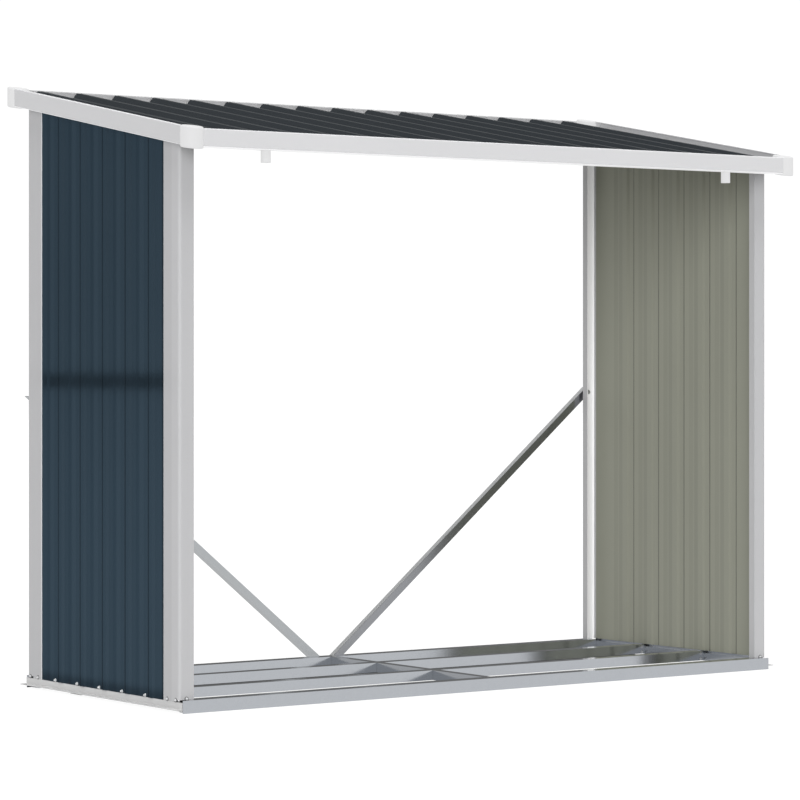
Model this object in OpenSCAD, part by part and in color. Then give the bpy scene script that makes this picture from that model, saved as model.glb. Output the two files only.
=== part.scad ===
// Open-fronted log store: a folded-steel base, four lipped corner posts, two ribbed
// side walls and a ribbed pent roof that falls forward into a gutter, with trim all
// round and a round cap at every roof corner. Millimetres, Z up, front faces -Y.

/* [Overall] */
// Width over the corner caps
roof_w = 2378; // [1800:1:3000]
// Depth over the corner caps
roof_d = 1104; // [800:1:1400]
// Height of the top edge of the gutter
eaves_h = 1703; // [1400:1:2100]
// Fall of the roof towards the front in degrees
roof_pitch = 10; // [6:0.5:14]
// How far the roof stands out past the posts on each side
side_overhang = 40; // [36:1:70]
// How far the roof stands out past the front of the posts
front_overhang = 113; // [100:1:200]
// How far the roof stands out past the back of the posts
back_overhang = 85; // [80:1:150]
// Thickness of the folded sheet
sheet_t = 2; // [1.5:0.1:3]
// Working clearance between neighbouring pieces
fit = 0.3; // [0.2:0.05:0.5]

/* [Base] */
// Height of the front and back rails
rail_h = 38; // [30:1:60]
// Depth of the front and back rails
rail_d = 47; // [36:1:70]
// How far the front rail stands out past the posts
rail_out = 17; // [10:1:22]
// How far the back rail stands out past the posts
rail_back_out = 10; // [8:1:22]
// Height of the wall ledge on the side rails
ledge_h = 32; // [26:1:36]
// Width of the side rails
side_rail_w = 19; // [15:1:40]
// Underside of the side rails above the floor
side_lift = 6; // [4:1:10]
// Height of the upstand that holds the foot of the wall
upstand_h = 39; // [36:1:60]
// Height of the outer flange of the side rails
flange_z = 11; // [9:1:16]
// Width of the outer flange of the side rails
flange_w = 24; // [15:1:34]
// Depth of the two middle rails
mid_d = 40; // [30:1:60]
// Width of the cross rail
cross_w = 30; // [24:1:60]
// Underside of the middle and cross rails above the floor
inner_lift = 7; // [3:1:10]

/* [Posts] */
// Width of the post leg across the front
post_leg_x = 50; // [40:1:80]
// Width of the post leg along the side wall
post_leg_y = 88; // [60:1:120]
// Depth of the post return lip
post_lip = 26; // [15:1:30]
// Outer radius of the post fold
post_r = 10; // [5:0.5:12]

/* [Walls] */
// Height of the wall ribs
wall_rib_h = 5; // [3:0.5:9]
// Distance between wall ribs
wall_pitch = 134.3; // [110:0.1:160]
// Width of a wall rib on its face
wall_rib_top = 21; // [12:0.5:40]
// Width of a wall rib at its root
wall_rib_base = 41.5; // [32:0.5:70]
// Sideways shift of the wall ribs towards the back
wall_rib_shift = -24.5; // [-40:0.5:40]
// Least plain strip between the posts and the wall ribs
wall_margin = 48; // [45:1:80]
// Width of the shallow swage in each plain strip
swage_w = 46; // [30:1:60]
// Width of the swage on its face
swage_top = 6; // [3:0.5:20]
// Height of the swage
swage_h = 1.5; // [0.5:0.1:3]
// Distance of the wall edges from the outer faces of the posts
wall_edge = 18; // [13:1:30]

/* [Roof] */
// Height of the roof ribs
roof_rib_h = 14.3; // [8:0.1:18]
// Width of a roof rib on its face
roof_rib_top = 18.5; // [12:0.5:30]
// Width of a roof rib at its root
roof_rib_base = 39; // [31:0.5:60]
// Ribs on each roof sheet
ribs_per_sheet = 4; // [3:1:5]
// Plain strip along each side edge of the roof
roof_margin = 38; // [20:1:70]
// How far the roof reaches over the gutter
roof_lap = 17; // [10:1:20]
// Gap between the roof edges and the trim
edge_gap = 2; // [1:0.5:4]
// How far the trim stands above the roof ribs
trim_over_rib = 6; // [4:0.5:14]
// Depth of the top rails
top_rail_h = 38; // [30:1:60]
// Width of the turned-in flange of the top rails
top_flange = 24; // [15:1:40]

/* [Trim] */
// Height of the gutter and the back trim
gutter_h = 54; // [48:0.5:80]
// Width of the gutter and the back trim
gutter_w = 50; // [46:1:54]
// Height of the side trim
verge_h = 58; // [50:0.5:80]
// How far the side trim stands above the line of the gutter edge
verge_over = 2; // [0:0.5:4]
// How far the back trim lies below the line of the gutter edge
back_drop = 5.5; // [0:0.5:8]
// Width of the turned-in edge of the trim
trim_lip = 7; // [6:0.5:10]
// Outer radius of the folds of the trim
fold_r = 4; // [3:0.5:5.5]
// Radius of the corner cap
cap_r = 34; // [28:0.5:40]
// How far the corner cap stands proud of the trim
cap_proud = 8; // [4:0.5:12]
// How far the cap stands above the trim
cap_over = 2.5; // [1:0.5:8]
// How far the cap hangs below the side trim
cap_under = 5; // [2:0.5:12]
// Easing of the upper and lower edges of the cap
cap_ease = 4; // [2:0.5:8]
// Outer radius of the gutter spout
spout_r = 15; // [10:0.5:18]
// Length of the gutter spout
spout_l = 37; // [20:1:60]
// Distance of each spout from the end of the roof
spout_inset = 289; // [120:1:500]
// Width of the spout flange that closes the gutter floor
spout_flange = 44; // [40:1:60]

/* [Braces] */
// Width of each leg of the brace
brace_w = 25; // [18:1:32]
// Height of the upper brace fixing
brace_top_z = 918; // [700:1:1100]
// Distance of the upper brace fixing from the outer face of the post
brace_edge = 27; // [22:1:30]
// Distance of the lower brace fixing from the middle
brace_foot_x = 26; // [24:1:120]
// How far the brace runs past its fixings
brace_over = 13; // [10:1:14]
// Radius of the brace spacer
spacer_r = 10; // [6:0.5:14]

/* [Hidden] */
$fn = 64;
cut = 1;
cap_x = roof_w / 2 - cap_r;
cap_y = roof_d / 2 - cap_r;
trim_x = roof_w / 2 - cap_proud;
trim_y = roof_d / 2 - cap_proud;
post_x = roof_w / 2 - side_overhang;
post_front = -roof_d / 2 + front_overhang;
post_back = roof_d / 2 - back_overhang;
post_mid = (post_front + post_back) / 2;
rail_front_y = post_front - rail_out;
rail_back_y = post_back + rail_back_out;
rail_in = post_x - side_rail_w;
inner_front = rail_front_y + rail_d;
inner_back = rail_back_y - rail_d;
mid_front_y = rail_front_y + (rail_back_y - rail_front_y) / 3 + mid_d / 2;
mid_back_y = rail_front_y + (rail_back_y - rail_front_y) * 2 / 3 + mid_d / 2;

wall_out = post_x - sheet_t - fit;
wall_in = wall_out - sheet_t;
web_in = wall_in - fit - sheet_t;
wall_y0 = post_front + wall_edge;
wall_y1 = post_back - wall_edge;
wall_free = post_back - post_front - 2 * (post_leg_y + wall_margin) - wall_rib_base;
wall_ribs = floor(wall_free / wall_pitch) + 1;

sheets = 4;
roof_edge = trim_x - sheet_t - edge_gap;
roof_front = -trim_y + gutter_w - roof_lap;
roof_back = trim_y - trim_lip - edge_gap;
roof_rib_pitch = 2 * (roof_edge - roof_margin) / (sheets * ribs_per_sheet);
roof_drop = trim_over_rib + (roof_rib_h + sheet_t) / cos(roof_pitch);
fall = tan(roof_pitch);
reach = roof_d;

gutter_foot = eaves_h - gutter_h;
spout_x = roof_w / 2 - spout_inset;
floor_start = spout_x - spout_flange / 2 - fit;
floor_end = spout_x + spout_flange / 2 + fit;
verge_in = max(post_x, wall_out + wall_rib_h) + fit;

brace_y = rail_back_y + fit;
brace_top_x = post_x - brace_edge;
brace_foot_z = rail_h / 2;
brace_run = brace_top_x - brace_foot_x;
brace_rise = brace_top_z - brace_foot_z;
brace_angle = atan2(brace_rise, brace_run);
brace_len = sqrt(brace_run * brace_run + brace_rise * brace_rise);

function trim_z(y) = eaves_h + (y + trim_y) * fall;
function pan_z(y) = trim_z(y) - roof_drop;
function rib(base, top) = [[-base / 2, 0], [-top / 2, 1], [top / 2, 1], [base / 2, 0]];

galvanised = [0.70, 0.72, 0.74];
cream = [0.86, 0.86, 0.87];
white = [0.92, 0.92, 0.92];
slate = [0.20, 0.25, 0.29];

// A plain block between two corners.
module slab(x0, x1, y0, y1, z0, z1) {
    translate([x0, y0, z0]) cube([x1 - x0, y1 - y0, z1 - z0]);
}

// A plate that follows the fall of the roof; over is measured from the top of the trim.
module sloped(x0, x1, y0, y1, over, h) {
    translate([x0, 0, 0]) rotate([90, 0, 90]) linear_extrude(x1 - x0)
        polygon([[y0, trim_z(y0) + over - h], [y1, trim_z(y1) + over - h],
                 [y1, trim_z(y1) + over], [y0, trim_z(y0) + over]]);
}

// Everything under the roof pans.
module below_roof() {
    translate([-roof_w, 0, 0]) rotate([90, 0, 90]) linear_extrude(2 * roof_w)
        polygon([[-reach, 0], [reach, 0], [reach, pan_z(reach) - fit], [-reach, pan_z(-reach) - fit]]);
}

// The round room that the four corner caps take up.
module cap_room() {
    for (x = [-cap_x, cap_x]) for (y = [-cap_y, cap_y])
        translate([x, y, 0]) cylinder(r = cap_r + fit, h = 2 * eaves_h);
}

// One side of the store drawn on the left, moved to the right by reflection.
module on_side(side) {
    if (side == "left") children();
    else mirror([1, 0, 0]) children();
}

// Front or back rail: a closed box with an outer face that runs over the ends of the side rails.
module end_rail(front) {
    y_out = front ? rail_front_y : rail_back_y;
    dir = front ? 1 : -1;
    inner = rail_in - fit;
    translate([0, y_out, 0]) scale([1, dir, 1]) {
        difference() {
            slab(-inner, inner, 0, rail_d, 0, rail_h);
            slab(-roof_w, roof_w, sheet_t, rail_d - sheet_t, sheet_t, rail_h - sheet_t);
        }
        slab(-wall_out, wall_out, 0, sheet_t, 0, rail_h);
    }
}

module side_rail() {
    y0 = rail_front_y + sheet_t + fit;
    y1 = rail_back_y - sheet_t - fit;
    slab(-post_x, -post_x + sheet_t, y0, y1, side_lift, ledge_h);
    slab(-post_x, -rail_in, y0, y1, ledge_h - sheet_t, ledge_h);
    slab(-rail_in - sheet_t, -rail_in, y0, y1, side_lift, ledge_h);
    slab(-web_in - sheet_t, -web_in, wall_y0, wall_y1, ledge_h - sheet_t, upstand_h);
    slab(-post_x - flange_w, -post_x + sheet_t, y0, y1, flange_z, flange_z + sheet_t);
}

// Half a middle rail: an open-bottomed channel between a side rail and the cross rail.
module mid_rail(y) {
    x0 = -rail_in + fit;
    x1 = -cross_w / 2 - fit;
    y0 = y - mid_d / 2;
    y1 = y + mid_d / 2;
    difference() {
        slab(x0, x1, y0, y1, inner_lift, rail_h);
        slab(x0 - cut, x1 + cut, y0 + sheet_t, y1 - sheet_t, inner_lift - cut, rail_h - sheet_t);
    }
}

module cross_rail() {
    half = cross_w / 2;
    difference() {
        slab(-half, half, inner_front + fit, inner_back - fit, inner_lift, rail_h);
        slab(-half + sheet_t, half - sheet_t, inner_front, inner_back, inner_lift - cut, rail_h - sheet_t);
    }
}

// A quarter bend of folded sheet, its outer corner at the origin.
module bend(r) {
    intersection() {
        translate([r, r]) difference() {
            circle(r);
            circle(r - sheet_t);
        }
        square(r);
    }
}

// Lipped angle in plan, its outer corner at the origin, legs towards +X and +Y.
module post_plan(lx, ly) {
    bend(post_r);
    translate([post_r, 0]) square([lx - post_r, sheet_t]);
    translate([0, post_r]) square([sheet_t, ly - post_r]);
    translate([lx - sheet_t, 0]) square([sheet_t, post_lip]);
}

module post(front) {
    dir = front ? 1 : -1;
    y = front ? post_front : post_back;
    out = front ? rail_out : rail_back_out;
    intersection() {
        below_roof();
        translate([-post_x, y, 0]) scale([1, dir, 1]) difference() {
            translate([0, 0, ledge_h + fit]) linear_extrude(2 * eaves_h) post_plan(post_leg_x, post_leg_y);
            slab(-cut, post_leg_x + cut, -cut, rail_d - out + fit, 0, rail_h + fit);
        }
    }
}

// Ribbed side wall: ribs standing out between the post legs, and a shallow swage behind each
// rib where the leg of the back post leaves room for it.
module wall() {
    first = post_mid + wall_rib_shift - (wall_ribs - 1) / 2 * wall_pitch;
    leg = post_back - post_leg_y - fit;
    line = concat([[wall_y0, 0]],
        [for (i = [0 : wall_ribs - 1]) each concat(
            [for (p = rib(wall_rib_base, wall_rib_top))
                [first + i * wall_pitch + p[0], p[1] * wall_rib_h]],
            [for (p = rib(swage_w, swage_top)) let (mid = first + (i + 0.5) * wall_pitch)
                if (mid + swage_w / 2 < leg) [mid + p[0], p[1] * swage_h]])],
        [[wall_y1, 0]]);
    outer = [for (p = line) [-wall_out - p[1], p[0]]];
    inner = [for (i = [len(outer) - 1 : -1 : 0]) outer[i] + [sheet_t, 0]];
    intersection() {
        below_roof();
        translate([0, 0, ledge_h + fit]) linear_extrude(2 * eaves_h) polygon(concat(outer, inner));
    }
}

module top_side() {
    over = -roof_drop - fit;
    sloped(-web_in - sheet_t, -web_in, wall_y0, wall_y1, over, top_rail_h);
    sloped(-web_in - sheet_t, -web_in + top_flange, wall_y0, wall_y1, over, sheet_t);
}

// Top rail between two posts, flush with their outer faces and turned in at the foot.
module top_end(front) {
    x = post_x - post_leg_x - fit;
    y = front ? post_front : post_back;
    dir = front ? 1 : -1;
    z1 = pan_z(front ? y : y - sheet_t) - fit;
    translate([0, y, 0]) scale([1, dir, 1]) {
        slab(-x, x, 0, sheet_t, z1 - top_rail_h, z1);
        slab(-x, x, 0, top_flange, z1 - top_rail_h, z1 - top_rail_h + sheet_t);
    }
}

// One roof sheet with its ribs running down the fall, notched round the corner caps.
module roof_sheet(n) {
    from_mid = n - sheets / 2;
    x0 = n == 0 ? -roof_edge : from_mid * ribs_per_sheet * roof_rib_pitch + fit / 2;
    x1 = n == sheets - 1 ? roof_edge : (from_mid + 1) * ribs_per_sheet * roof_rib_pitch - fit / 2;
    line = concat([[x0, 0]],
        [for (i = [0 : ribs_per_sheet - 1]) for (p = rib(roof_rib_base, roof_rib_top))
            [(from_mid * ribs_per_sheet + i + 0.5) * roof_rib_pitch + p[0], p[1] * roof_rib_h]],
        [[x1, 0]]);
    upper = [for (i = [len(line) - 1 : -1 : 0]) line[i] + [0, sheet_t]];
    run = (roof_back - roof_front) / cos(roof_pitch);
    difference() {
        translate([0, roof_front, pan_z(roof_front)]) rotate([90 + roof_pitch, 0, 0])
            translate([0, 0, -run]) linear_extrude(run) polygon(concat(line, upper));
        cap_room();
        for (sx = [-1, 1]) for (sy = [-1, 1])
            translate([sx * cap_x, sy * cap_y, 0]) scale([sx, sy, 1]) cube([cap_r, cap_r, 2 * eaves_h]);
    }
}

// Front and back trim, drawn inwards from the outer face.
module at_end(front) {
    difference() {
        translate([0, front ? -trim_y : trim_y, 0]) scale([1, front ? 1 : -1, 1]) children();
        cap_room();
    }
}

// Section of the trim: a face h high, turned in at its top and its foot with round folds.
module folded(h, top_in, foot_in) {
    bend(fold_r);
    translate([0, h]) mirror([0, 1]) bend(fold_r);
    translate([0, fold_r]) square([sheet_t, h - 2 * fold_r]);
    translate([fold_r, h - sheet_t]) square([top_in - fold_r, sheet_t]);
    translate([fold_r, 0]) square([foot_in - fold_r, sheet_t]);
}

module trim_face(top, foot_in) {
    translate([-cap_x, 0, top - gutter_h]) rotate([90, 0, 90]) linear_extrude(2 * cap_x)
        folded(gutter_h, trim_lip, foot_in);
}

module trim_upstand(foot, top) {
    slab(-cap_x, cap_x, gutter_w - sheet_t, gutter_w, foot, top);
}

// Strip of the gutter floor between two spouts or between a spout and a cap.
module gutter_floor(x0, x1) {
    at_end(true) slab(x0, x1, trim_lip + fit, gutter_w - sheet_t - fit, gutter_foot, gutter_foot + sheet_t);
}

module back_section() {
    top = trim_z(trim_y) - back_drop;
    foot = top - gutter_h;
    at_end(false) {
        trim_face(top, gutter_w);
        trim_upstand(foot, pan_z(trim_y - gutter_w) - fit);
    }
}

// Side trim: one folded section that follows the fall of the roof.
module verge() {
    run = 2 * cap_y / cos(roof_pitch);
    face = verge_h * cos(roof_pitch);
    width = trim_x - verge_in;
    inner = (verge_h - verge_over - roof_drop - fit) * cos(roof_pitch);
    difference() {
        translate([-trim_x, -cap_y, trim_z(-cap_y) + verge_over]) rotate([90 + roof_pitch, 0, 0])
            translate([0, -face, -run]) linear_extrude(run) {
                folded(face, trim_lip, width);
                translate([width - sheet_t, 0]) square([sheet_t, inner]);
            }
        cap_room();
    }
}

// A round column whose top and foot follow the fall of the roof; less shortens both ends.
module cap_column(y, r, less) {
    half = cap_r + cut;
    intersection() {
        translate([-cap_x, y, 0]) cylinder(r = r, h = 2 * eaves_h);
        sloped(-cap_x - half, -cap_x + half, y - half, y + half,
            cap_over - less, cap_over + verge_h - verge_over + cap_under - 2 * less);
    }
}

// Round corner cap with eased upper and lower edges.
module cap(front) {
    y = front ? -cap_y : cap_y;
    hull() for (a = [0, 45, 90])
        cap_column(y, cap_r - cap_ease * (1 - cos(a)), cap_ease * (1 - sin(a)), $fn = 96);
}

// Drop pipe with a flat flange let into the gutter floor.
module spout() {
    flange_front = gutter_w / 2 - trim_lip - fit;
    flange_back = gutter_w / 2 - sheet_t - fit;
    translate([-spout_x, -trim_y + gutter_w / 2, gutter_foot]) difference() {
        union() {
            translate([0, 0, -spout_l]) cylinder(r = spout_r, h = spout_l + sheet_t);
            slab(-spout_flange / 2, spout_flange / 2, -flange_front, flange_back, 0, sheet_t);
        }
        translate([0, 0, -spout_l - cut]) cylinder(r = spout_r - sheet_t, h = spout_l + sheet_t + 2 * cut);
    }
}

// Angle-section brace across the back, lying against the back rail.
module brace() {
    translate([-brace_foot_x, brace_y, brace_foot_z]) rotate([0, brace_angle, 0])
        translate([-brace_len - brace_over, 0, -brace_w / 2]) {
            cube([brace_len + 2 * brace_over, sheet_t, brace_w]);
            cube([brace_len + 2 * brace_over, brace_w, sheet_t]);
        }
}

module spacer() {
    translate([-brace_top_x, post_back + fit, brace_top_z]) rotate([-90, 0, 0])
        cylinder(r = spacer_r, h = brace_y - post_back - 2 * fit);
}

module rail_front() { color(galvanised) end_rail(true); }
module rail_back() { color(galvanised) end_rail(false); }
module rail_left() { color(galvanised) on_side("left") side_rail(); }
module rail_right() { color(galvanised) on_side("right") side_rail(); }
module rail_mid_front_left() { color(galvanised) on_side("left") mid_rail(mid_front_y); }
module rail_mid_front_right() { color(galvanised) on_side("right") mid_rail(mid_front_y); }
module rail_mid_back_left() { color(galvanised) on_side("left") mid_rail(mid_back_y); }
module rail_mid_back_right() { color(galvanised) on_side("right") mid_rail(mid_back_y); }
module rail_cross() { color(galvanised) cross_rail(); }
module post_front_left() { color(cream) on_side("left") post(true); }
module post_front_right() { color(cream) on_side("right") post(true); }
module post_back_left() { color(cream) on_side("left") post(false); }
module post_back_right() { color(cream) on_side("right") post(false); }
module wall_left() { color(slate) on_side("left") wall(); }
module wall_right() { color(slate) on_side("right") wall(); }
module top_front() { color(cream) top_end(true); }
module top_back() { color(cream) top_end(false); }
module top_left() { color(cream) on_side("left") top_side(); }
module top_right() { color(cream) on_side("right") top_side(); }
module roof_1() { color(slate) roof_sheet(0); }
module roof_2() { color(slate) roof_sheet(1); }
module roof_3() { color(slate) roof_sheet(2); }
module roof_4() { color(slate) roof_sheet(3); }
module gutter_front() { color(cream) at_end(true) trim_face(eaves_h, trim_lip); }
module gutter_back() {
    color(cream) at_end(true) trim_upstand(gutter_foot, pan_z(-trim_y + gutter_w - sheet_t) - fit);
}
module gutter_floor_left() { color(cream) gutter_floor(-cap_x, -floor_end); }
module gutter_floor_mid() { color(cream) gutter_floor(-floor_start, floor_start); }
module gutter_floor_right() { color(cream) gutter_floor(floor_end, cap_x); }
module trim_back() { color(cream) back_section(); }
module verge_left() { color(cream) on_side("left") verge(); }
module verge_right() { color(cream) on_side("right") verge(); }
module cap_front_left() { color(white) on_side("left") cap(true); }
module cap_front_right() { color(white) on_side("right") cap(true); }
module cap_back_left() { color(white) on_side("left") cap(false); }
module cap_back_right() { color(white) on_side("right") cap(false); }
module spout_left() { color(white) on_side("left") spout(); }
module spout_right() { color(white) on_side("right") spout(); }
module brace_left() { color(galvanised) on_side("left") brace(); }
module brace_right() { color(galvanised) on_side("right") brace(); }
module spacer_left() { color(galvanised) on_side("left") spacer(); }
module spacer_right() { color(galvanised) on_side("right") spacer(); }

rail_front();
rail_back();
rail_left();
rail_right();
rail_mid_front_left();
rail_mid_front_right();
rail_mid_back_left();
rail_mid_back_right();
rail_cross();
post_front_left();
post_front_right();
post_back_left();
post_back_right();
wall_left();
wall_right();
top_front();
top_back();
top_left();
top_right();
roof_1();
roof_2();
roof_3();
roof_4();
gutter_front();
gutter_back();
gutter_floor_left();
gutter_floor_mid();
gutter_floor_right();
trim_back();
verge_left();
verge_right();
cap_front_left();
cap_front_right();
cap_back_left();
cap_back_right();
spout_left();
spout_right();
brace_left();
brace_right();
spacer_left();
spacer_right();
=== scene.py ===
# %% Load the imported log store
import math
import bmesh
import bpy
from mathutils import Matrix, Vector
from mathutils.bvhtree import BVHTree


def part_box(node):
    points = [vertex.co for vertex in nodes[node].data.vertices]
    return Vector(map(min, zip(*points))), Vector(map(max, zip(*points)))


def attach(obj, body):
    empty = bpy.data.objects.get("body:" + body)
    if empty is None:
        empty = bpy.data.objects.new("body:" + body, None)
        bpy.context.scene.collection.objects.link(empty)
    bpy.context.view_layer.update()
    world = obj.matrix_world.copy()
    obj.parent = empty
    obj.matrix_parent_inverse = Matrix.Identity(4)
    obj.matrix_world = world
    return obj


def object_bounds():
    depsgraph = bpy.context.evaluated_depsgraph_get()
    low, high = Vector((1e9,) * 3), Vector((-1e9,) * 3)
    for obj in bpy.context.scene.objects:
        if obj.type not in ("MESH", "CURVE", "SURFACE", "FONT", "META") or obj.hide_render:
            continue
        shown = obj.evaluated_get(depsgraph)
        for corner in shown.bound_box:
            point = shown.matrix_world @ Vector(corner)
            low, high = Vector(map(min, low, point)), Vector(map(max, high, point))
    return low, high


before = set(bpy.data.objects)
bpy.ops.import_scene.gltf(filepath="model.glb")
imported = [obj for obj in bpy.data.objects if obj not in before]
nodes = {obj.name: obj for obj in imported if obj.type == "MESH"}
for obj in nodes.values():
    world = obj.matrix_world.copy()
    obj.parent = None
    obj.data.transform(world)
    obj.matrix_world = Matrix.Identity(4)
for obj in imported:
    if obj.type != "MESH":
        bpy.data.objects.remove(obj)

scene = bpy.context.scene
cad_low, cad_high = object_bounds()
print("frame:", len(nodes), "pieces, box", [round(v, 3) for v in (*cad_low, *cad_high)])

# %% [markdown]
# The log store is an open steel shelter: a base of zinc-coated rails, four pale folded posts,
# two ribbed walls and a ribbed roof inside a white trim. Its metal sheets already have their true
# shape, so this lesson is about three other things: the view, the finishes, and the many small
# fixings that hold such a kit together.
#
# We begin with the camera. The upright edges in the picture stay parallel, so the camera is level
# and the picture is shifted instead of tilted. A long lens far away gives the flat perspective.

# %% Camera
FRAME_PX = 800
SENSOR_MM = 36.0
FOCAL_PX = 3155.2
HORIZON_PX = 360.58
CAMERA_PLACE = (-6.0, -8.2878, 1.03)
CAMERA_HEADING = 35.72
CLIP_END = 200.0

camera_data = bpy.data.cameras.new("store_camera")
camera_data.sensor_width = SENSOR_MM
camera_data.lens = FOCAL_PX / FRAME_PX * SENSOR_MM
camera_data.shift_y = (HORIZON_PX - FRAME_PX / 2) / FRAME_PX
camera_data.clip_end = CLIP_END
camera = bpy.data.objects.new("store_camera", camera_data)
camera.location = CAMERA_PLACE
camera.rotation_euler = (math.radians(90), 0.0, math.radians(-CAMERA_HEADING))
scene.collection.objects.link(camera)
scene.camera = camera
print("camera: lens", round(camera_data.lens, 1), "mm, shift", round(camera_data.shift_y, 4))

# %% [markdown]
# Node trees built in Python soon fill with the same three lines: make a node, set it, link it.
# A few small helpers keep the later cells short. Most of them return an output socket, so calls
# can be nested the way a formula is. A Mix node keeps sockets for every kind of data, and those
# for colours have to be picked by number.

# %% Helpers for node trees
WHITE = (1.0, 1.0, 1.0, 1.0)
MIX_SHARE = 0
MIX_FIRST_COLOR = 6
MIX_SECOND_COLOR = 7
MIX_COLOR_RESULT = 2


def link(tree, start, end):
    """Joins an output socket to an input socket."""
    tree.links.new(start, end)


def feed(tree, value, socket):
    """Gives a socket its value: a link from another socket, or a plain setting."""
    if isinstance(value, bpy.types.NodeSocket):
        link(tree, value, socket)
    else:
        socket.default_value = value


def math_node(tree, operation, *values):
    """A Math node fed by sockets or plain numbers."""
    node = tree.nodes.new("ShaderNodeMath")
    node.operation = operation
    for value, socket in zip(values, node.inputs):
        feed(tree, value, socket)
    return node.outputs[0]


def dot(tree, vector, direction):
    """The dot product of a vector socket and a fixed direction."""
    node = tree.nodes.new("ShaderNodeVectorMath")
    node.operation = "DOT_PRODUCT"
    node.inputs[1].default_value = direction
    link(tree, vector, node.inputs[0])
    return node.outputs["Value"]


def coordinate(tree, kind):
    """The Object, Normal or Generated coordinates."""
    return tree.nodes.new("ShaderNodeTexCoord").outputs[kind]


def axis_of(tree, kind, axis):
    """One axis of the Object or Normal coordinates."""
    parts = tree.nodes.new("ShaderNodeSeparateXYZ")
    link(tree, coordinate(tree, kind), parts.inputs[0])
    return parts.outputs[axis]


def map_range(tree, value, into, out_of=(0.0, 1.0), soft=False):
    """Maps values from one (low, high) range into another; soft rounds both ends of the slope."""
    node = tree.nodes.new("ShaderNodeMapRange")
    if soft:
        node.interpolation_type = "SMOOTHSTEP"
    link(tree, value, node.inputs["Value"])
    for title, limit in zip(("From Min", "From Max", "To Min", "To Max"), (*out_of, *into)):
        feed(tree, limit, node.inputs[title])
    return node.outputs["Result"]


def mix_value(tree, share, first, second):
    """Blends two numbers by a share from 0 to 1."""
    node = tree.nodes.new("ShaderNodeMix")
    link(tree, share, node.inputs["Factor"])
    feed(tree, first, node.inputs["A"])
    feed(tree, second, node.inputs["B"])
    return node.outputs["Result"]


def mix_color(tree, share, first, second):
    """Blends two colours, each a socket or a plain RGBA, by a share from 0 to 1."""
    node = tree.nodes.new("ShaderNodeMix")
    node.data_type = "RGBA"
    link(tree, share, node.inputs[MIX_SHARE])
    feed(tree, first, node.inputs[MIX_FIRST_COLOR])
    feed(tree, second, node.inputs[MIX_SECOND_COLOR])
    return node.outputs[MIX_COLOR_RESULT]


def shader_of(material):
    """The Principled shader of a material."""
    return material.node_tree.nodes["Principled BSDF"]


def start_material(name):
    """A new material with a Principled shader; returns material, tree and shader."""
    material = bpy.data.materials.new(name)
    material.use_nodes = True
    return material, material.node_tree, shader_of(material)


print("helpers ready, for example", math_node.__name__, "and", map_range.__name__)

# %% [markdown]
# A catalogue picture of sheet metal is lit by a big soft room, not by a bare lamp. The room is the
# world: brightest in front and overhead, dimmer behind, so that faces turned different ways get
# different tones. A few soft patches, the lobes, brighten or darken what single faces mirror. The
# camera itself sees the world as plain white paper.

# %% Soft room
ROOM_LEVEL = 0.46
ROOM_SWING = 0.16
ROOM_FRONT = Vector((0.30, -0.72, 0.62)).normalized()
ROOM_LOBES = (
    (Vector((0.45, 0.89, 0.05)), 28.0, -0.26),
    (Vector((-0.62, 0.78, 0.05)), 32.0, 0.20),
    (Vector((0.58, -0.81, 0.12)), 32.0, 0.25),
)
PAPER_LEVEL = 1.05


def room_lobe(tree, direction, middle, width, change):
    """A soft-edged patch of the room that is brighter or darker; width in degrees."""
    near = dot(tree, direction, middle.normalized())
    rim = math.cos(math.radians(width))
    return map_range(tree, near, (0.0, change), out_of=(rim, 1.0), soft=True)


def build_room():
    """The world: a soft room for the light, plain paper for the camera."""
    world = bpy.data.worlds.new("soft_room")
    scene.world = world
    world.use_nodes = True
    tree = world.node_tree
    tree.nodes.clear()
    direction = coordinate(tree, "Generated")
    level = math_node(tree, "MULTIPLY_ADD", dot(tree, direction, ROOM_FRONT), ROOM_SWING, ROOM_LEVEL)
    for middle, width, change in ROOM_LOBES:
        level = math_node(tree, "ADD", level, room_lobe(tree, direction, middle, width, change))
    seen = tree.nodes.new("ShaderNodeLightPath").outputs["Is Camera Ray"]
    background = tree.nodes.new("ShaderNodeBackground")
    background.inputs["Color"].default_value = WHITE
    link(tree, mix_value(tree, seen, level, PAPER_LEVEL), background.inputs["Strength"])
    output = tree.nodes.new("ShaderNodeOutputWorld")
    link(tree, background.outputs[0], output.inputs["Surface"])


scene.view_settings.view_transform = "Standard"
build_room()
print("room light from", [round(v, 2) for v in ROOM_FRONT], "with", len(ROOM_LOBES), "lobes")

# %% [markdown]
# The floor is pale and glows for the camera, which washes out its shadows the way a light table
# does. Two small cards help the picture. A dark strip beside the left wall is seen by mirror
# reflections only and draws the dark band on that wall. A grey card under the back middle rails
# is a painted shadow there; it keeps the bright floor from showing as a second slit.

# %% Floor and cards
FLOOR_HALF = 40.0
FLOOR_TINT = 0.10
FLOOR_ROUGHNESS = 0.9
FLOOR_GLOW = 0.60
FLOOR_GLOW_SEEN = 0.95
STRIP_X = -1.325
STRIP_Y = (-0.30, 0.80)
STRIP_Z = (0.940, 0.986)
STRIP_TINT = 0.01
SHADE_DEPTH = 0.03
SHADE_LIFT = 0.0004
SHADE_TINT = 0.15


def rectangle(across, along):
    """The four corners of a rectangle given by two (low, high) pairs."""
    (left, right), (near, far) = across, along
    return (left, near), (right, near), (right, far), (left, far)


def add_flat(name, corners, paper):
    """An object made of one four-cornered face."""
    mesh = bpy.data.meshes.new(name)
    mesh.from_pydata(corners, [], [(0, 1, 2, 3)])
    mesh.materials.append(paper)
    flat = bpy.data.objects.new(name, mesh)
    scene.collection.objects.link(flat)
    return flat


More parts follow.
